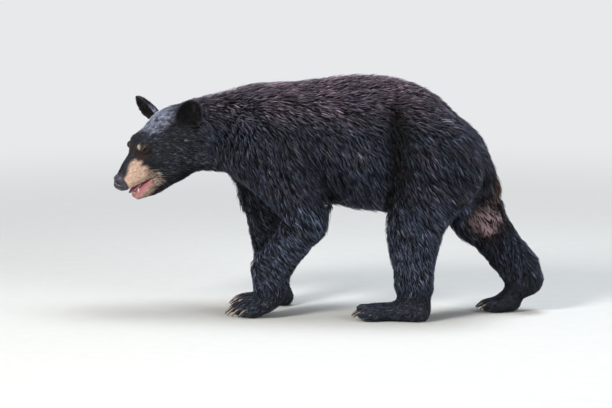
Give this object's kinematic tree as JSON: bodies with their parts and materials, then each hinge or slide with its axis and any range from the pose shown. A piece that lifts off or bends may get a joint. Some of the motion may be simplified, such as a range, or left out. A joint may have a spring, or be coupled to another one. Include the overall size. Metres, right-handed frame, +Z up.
{
  "type": "black bear",
  "caption": "Young black bear at life size, mid stride with its head low and turned to its left, mouth slightly open; a still figure that stands on its own soles.",
  "frame": {"origin": "on the floor, under the middle of the overall box", "axes": "+Z up; the bear faces -X, so its left side is -Y"},
  "size_m": [1.0984, 0.2936, 0.6232],
  "materials": {
    "coat": "black hair with a bluish grey sheen, brownish on the back; short tan hair on the muzzle and over the eyes",
    "nose": "dark grey-violet nose leather, slightly moist",
    "mouth": "moist pink tongue",
    "claws": "dark horn, paler along the top",
    "eyes": "very dark brown, wet"
  },
  "bodies": {
    "root": {"head": "coat", "nose": "nose", "lower_jaw": "coat", "tongue": "mouth", "left_ear": "coat", "right_ear": "coat", "left_eye": "eyes", "right_eye": "eyes", "neck": "coat", "trunk": "coat", "tail": "coat", "left_upper_arm": "coat", "left_forearm": "coat", "left_paw": "coat", "right_upper_arm": "coat", "right_forearm": "coat", "right_paw": "coat", "left_thigh": "coat", "left_shank": "coat", "left_foot": "coat", "right_thigh": "coat", "right_shank": "coat", "right_foot": "coat", "left_fore_claw_1": "claws", "left_fore_claw_2": "claws", "left_fore_claw_3": "claws", "left_fore_claw_4": "claws", "left_fore_claw_5": "claws", "right_fore_claw_1": "claws", "right_fore_claw_2": "claws", "right_fore_claw_3": "claws", "right_fore_claw_4": "claws", "right_fore_claw_5": "claws", "left_hind_claw_1": "claws", "left_hind_claw_2": "claws", "left_hind_claw_3": "claws", "left_hind_claw_4": "claws", "left_hind_claw_5": "claws", "right_hind_claw_1": "claws", "right_hind_claw_2": "claws", "right_hind_claw_3": "claws", "right_hind_claw_4": "claws", "right_hind_claw_5": "claws"}
  },
  "joints": []
}
